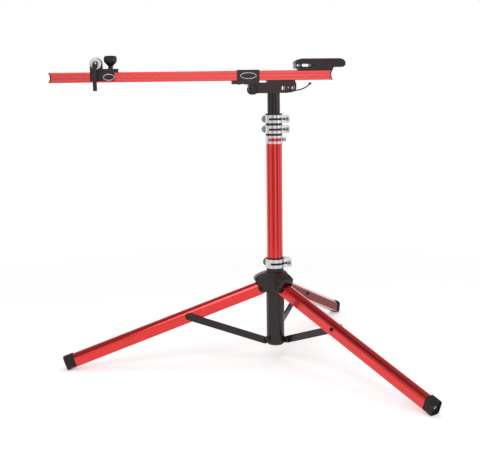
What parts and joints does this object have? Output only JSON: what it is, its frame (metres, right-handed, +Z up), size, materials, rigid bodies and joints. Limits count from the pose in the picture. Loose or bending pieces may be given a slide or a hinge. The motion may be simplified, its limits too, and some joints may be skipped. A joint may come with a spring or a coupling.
{
  "type": "bicycle repair stand",
  "caption": "Folding tripod repair stand with a telescoping column and a long beam that carries a fork axle clamp and a bottom bracket cradle.",
  "frame": {"origin": "on the floor under the column's axis", "axes": "+Z up along the column, +X along the beam from the fork clamp end towards the cradle end, leg 1 towards -X"},
  "size_m": [0.916, 1.0484, 0.8585],
  "materials": {
    "red_anodised": "bright red anodised extrusion",
    "black_moulded": "moulded nylon, satin",
    "black_anodised": "black anodised, satin",
    "polished_aluminium": "polished",
    "steel": "zinc plated",
    "black_steel": "blackened",
    "rubber": "matt rubber"
  },
  "bodies": {
    "column": {"main_tube": "red_anodised", "bottom_hub": "black_moulded", "strut_root_bolts": "black_steel", "neck_sleeve": "black_moulded", "mid_collar": "polished_aluminium", "mid_collar_bolt": "steel", "stop_ring": "polished_aluminium", "stop_ring_screw": "steel"},
    "mid_lever": {"mid_collar_lever": "polished_aluminium"},
    "hub": {"tripod_hub": "black_moulded", "hub_sleeve": "black_anodised", "low_collar": "polished_aluminium", "low_collar_bolt": "steel", "leg_pivot_bolts": "black_steel"},
    "low_lever": {"low_collar_lever": "polished_aluminium"},
    "swivel": {"swivel_sleeve": "black_moulded", "top_collar": "polished_aluminium", "top_collar_bolt": "steel"},
    "top_lever": {"top_collar_lever": "polished_aluminium"},
    "mast": {"mast_tube": "black_anodised", "mast_glide": "black_moulded", "head_body": "black_anodised", "head_screws": "black_steel", "hinge_pin": "black_anodised", "hinge_washers": "black_steel", "latch_pin": "steel"},
    "latch": {"latch_lever": "black_anodised"},
    "beam": {"beam_rail": "red_anodised", "beam_caps": "black_moulded", "lock_tongue": "black_anodised", "saddle_bracket": "black_anodised", "saddle_clamp": "black_anodised", "saddle_screws": "steel", "cradle_body": "black_moulded", "cradle_pad": "rubber", "cradle_bolts": "steel"},
    "fork_clamp": {"clamp_slider": "black_anodised", "clamp_shoe": "rubber", "fork_axle": "steel", "axle_cups": "polished_aluminium", "skewer_rod": "steel", "skewer_nut": "black_moulded"},
    "knob": {"clamp_knob": "black_moulded", "knob_screw": "steel"},
    "skewer": {"skewer_lever": "black_anodised"},
    "leg_1": {"leg_1": "red_anodised", "leg_insert_1": "black_moulded", "strut_stud_1": "black_steel", "foot_1": "rubber"},
    "strut_1": {"strut_1": "black_anodised"},
    "leg_2": {"leg_2": "red_anodised", "leg_insert_2": "black_moulded", "strut_stud_2": "black_steel", "foot_2": "rubber"},
    "strut_2": {"strut_2": "black_anodised"},
    "leg_3": {"leg_3": "red_anodised", "leg_insert_3": "black_moulded", "strut_stud_3": "black_steel", "foot_3": "rubber"},
    "strut_3": {"strut_3": "black_anodised"}
  },
  "joints": [
    {"name": "hub_slide", "type": "slide", "parent": "column", "child": "hub", "axis": [0, 0, 1], "range_m": [0, 0.29211]},
    {"name": "leg_fold_1", "type": "hinge", "parent": "hub", "child": "leg_1", "pos_m": [-0.0445, 0, 0.21112], "axis": [0, -1, 0], "range_deg": [0, 66.6]},
    {"name": "strut_fold_1", "type": "hinge", "parent": "column", "child": "strut_1", "pos_m": [-0.033, -0.0173, 0.062], "axis": [0, 1, 0], "range_deg": [0, 63.43]},
    {"name": "leg_fold_2", "type": "hinge", "parent": "hub", "child": "leg_2", "pos_m": [0.02225, -0.03854, 0.21112], "axis": [0.866, 0.5, 0], "range_deg": [0, 66.6]},
    {"name": "strut_fold_2", "type": "hinge", "parent": "column", "child": "strut_2", "pos_m": [0.03148, -0.01993, 0.062], "axis": [-0.866, -0.5, 0], "range_deg": [0, 63.43]},
    {"name": "leg_fold_3", "type": "hinge", "parent": "hub", "child": "leg_3", "pos_m": [0.02225, 0.03854, 0.21112], "axis": [-0.866, 0.5, 0], "range_deg": [0, 66.6]},
    {"name": "strut_fold_3", "type": "hinge", "parent": "column", "child": "strut_3", "pos_m": [0.00152, 0.03723, 0.062], "axis": [0.866, -0.5, 0], "range_deg": [0, 63.43]},
    {"name": "low_lever_swing", "type": "hinge", "parent": "hub", "child": "low_lever", "pos_m": [0.0382, 0.0168, 0.28012], "axis": [0, 0, -1], "range_deg": [0, 130]},
    {"name": "mid_lever_swing", "type": "hinge", "parent": "column", "child": "mid_lever", "pos_m": [0.035, 0.0168, 0.655], "axis": [0, 0, -1], "range_deg": [0, 130]},
    {"name": "swivel_turn", "type": "hinge", "parent": "column", "child": "swivel", "pos_m": [0, 0, 0.6723], "axis": [0, 0, 1], "continuous": true},
    {"name": "top_lever_swing", "type": "hinge", "parent": "swivel", "child": "top_lever", "pos_m": [0.035, 0.0168, 0.6833], "axis": [0, 0, -1], "range_deg": [0, 130]},
    {"name": "mast_slide", "type": "slide", "parent": "swivel", "child": "mast", "axis": [0, 0, 1], "range_m": [-0.045, 0.4]},
    {"name": "beam_fold", "type": "hinge", "parent": "mast", "child": "beam", "pos_m": [-0.058, 0, 0.764], "axis": [0, -1, 0], "range_deg": [0, 85]},
    {"name": "latch_swing", "type": "hinge", "parent": "mast", "child": "latch", "pos_m": [0.0386, 0, 0.7686], "axis": [0, 1, 0], "range_deg": [0, 35]},
    {"name": "clamp_slide", "type": "slide", "parent": "beam", "child": "fork_clamp", "axis": [1, 0, 0], "range_m": [-0.1, 0.295]},
    {"name": "knob_turn", "type": "hinge", "parent": "fork_clamp", "child": "knob", "pos_m": [-0.4405, 0, 0.84], "axis": [0, 0, 1], "continuous": true},
    {"name": "skewer_swing", "type": "hinge", "parent": "fork_clamp", "child": "skewer", "pos_m": [-0.478, -0.0666, 0.8365], "axis": [-1, 0, 0], "range_deg": [0, 160]}
  ],
  "couplings": [
    {"joint": "leg_fold_1", "follows": "hub_slide", "rad_per_m": 3.9793},
    {"joint": "strut_fold_1", "follows": "hub_slide", "rad_per_m": 3.7896},
    {"joint": "leg_fold_2", "follows": "hub_slide", "rad_per_m": 3.9793},
    {"joint": "strut_fold_2", "follows": "hub_slide", "rad_per_m": 3.7896},
    {"joint": "leg_fold_3", "follows": "hub_slide", "rad_per_m": 3.9793},
    {"joint": "strut_fold_3", "follows": "hub_slide", "rad_per_m": 3.7896}
  ]
}
